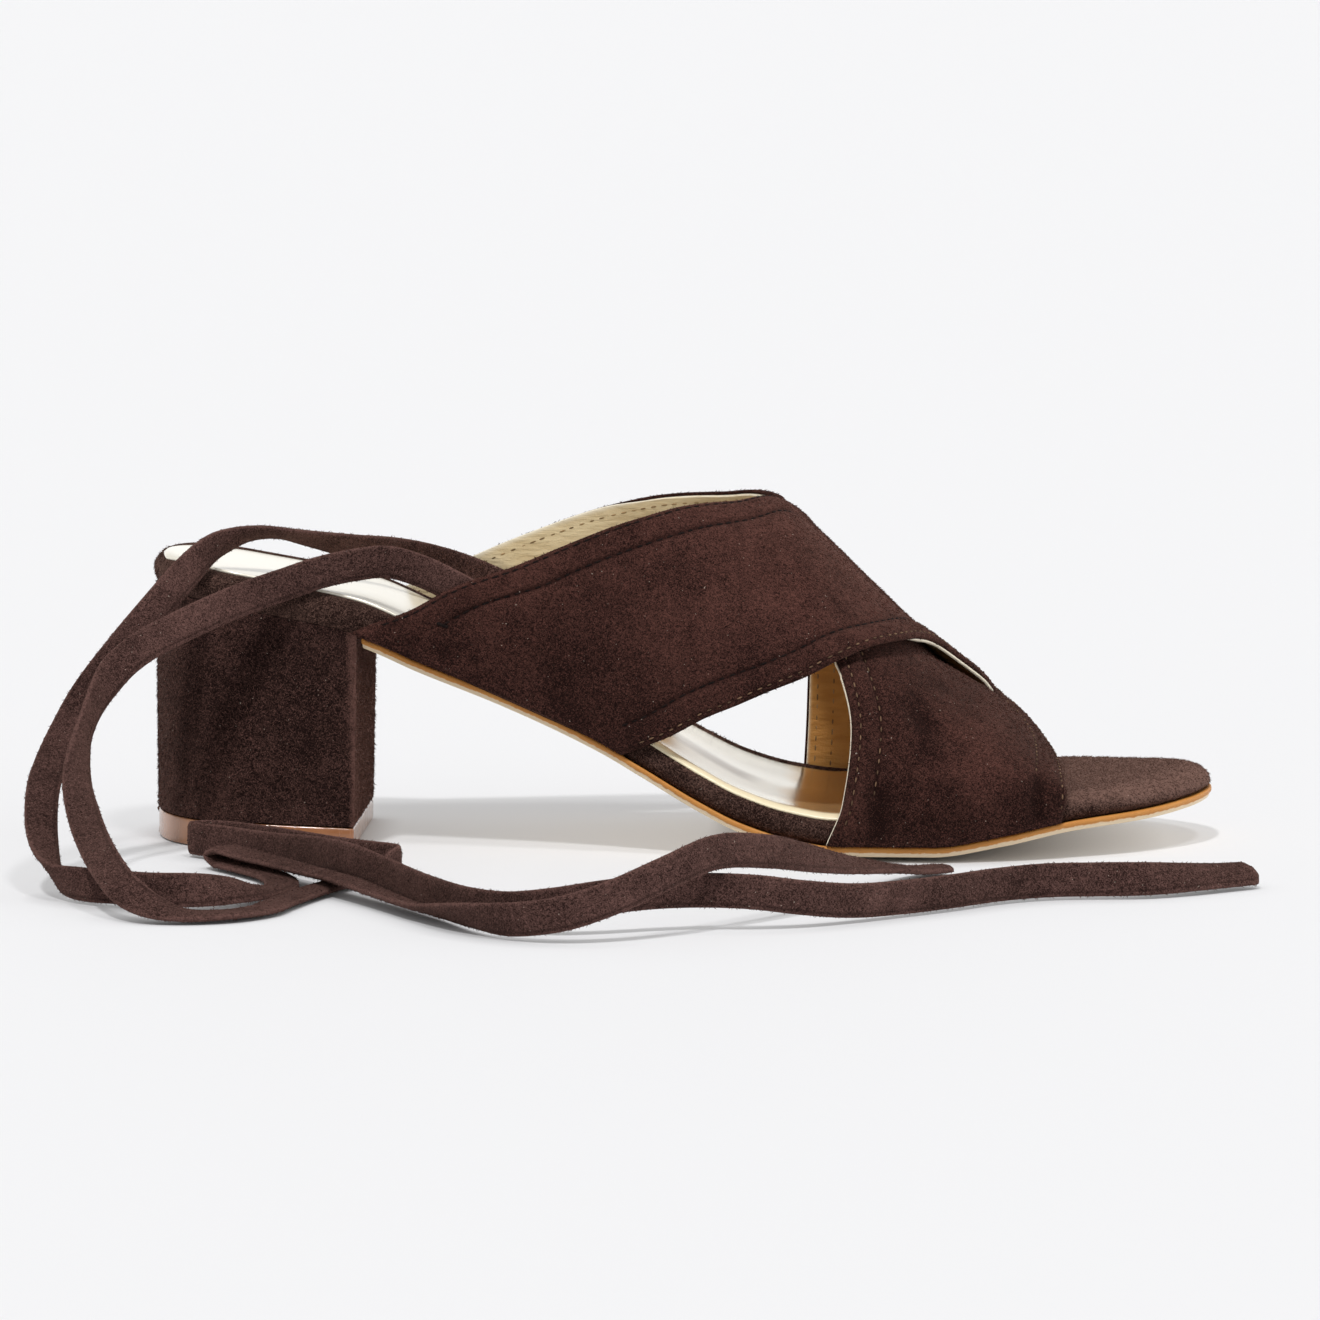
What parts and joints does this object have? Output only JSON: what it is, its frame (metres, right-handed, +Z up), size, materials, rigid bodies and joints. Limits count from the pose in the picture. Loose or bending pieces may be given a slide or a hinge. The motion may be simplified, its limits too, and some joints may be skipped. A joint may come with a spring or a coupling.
{
  "type": "heeled mule",
  "caption": "Open-toe suede mule sandal with wide straps crossing over the instep, a block heel and long flat ankle ties lying on the floor.",
  "frame": {"origin": "on the floor under the middle of the shoe's box, measured without the ties", "axes": "+X towards the toe, -Y towards the outer side of the foot, +Z up"},
  "size_m": [0.2638, 0.2021, 0.0785],
  "materials": {
    "sole_leather": "smooth tan sole leather",
    "suede": "dark brown suede nap",
    "sock_leather": "champagne metallic coated leather",
    "top_lift": "glossy tan",
    "tie_suede": "brown suede nap"
  },
  "bodies": {
    "root": {"outsole": "sole_leather", "footbed": "suede", "insole_sock": "sock_leather", "crossed_strap_upper": "suede", "heel_block": "suede", "heel_top_lift": "top_lift", "inner_ankle_tie": "tie_suede", "outer_ankle_tie": "tie_suede"}
  },
  "joints": []
}
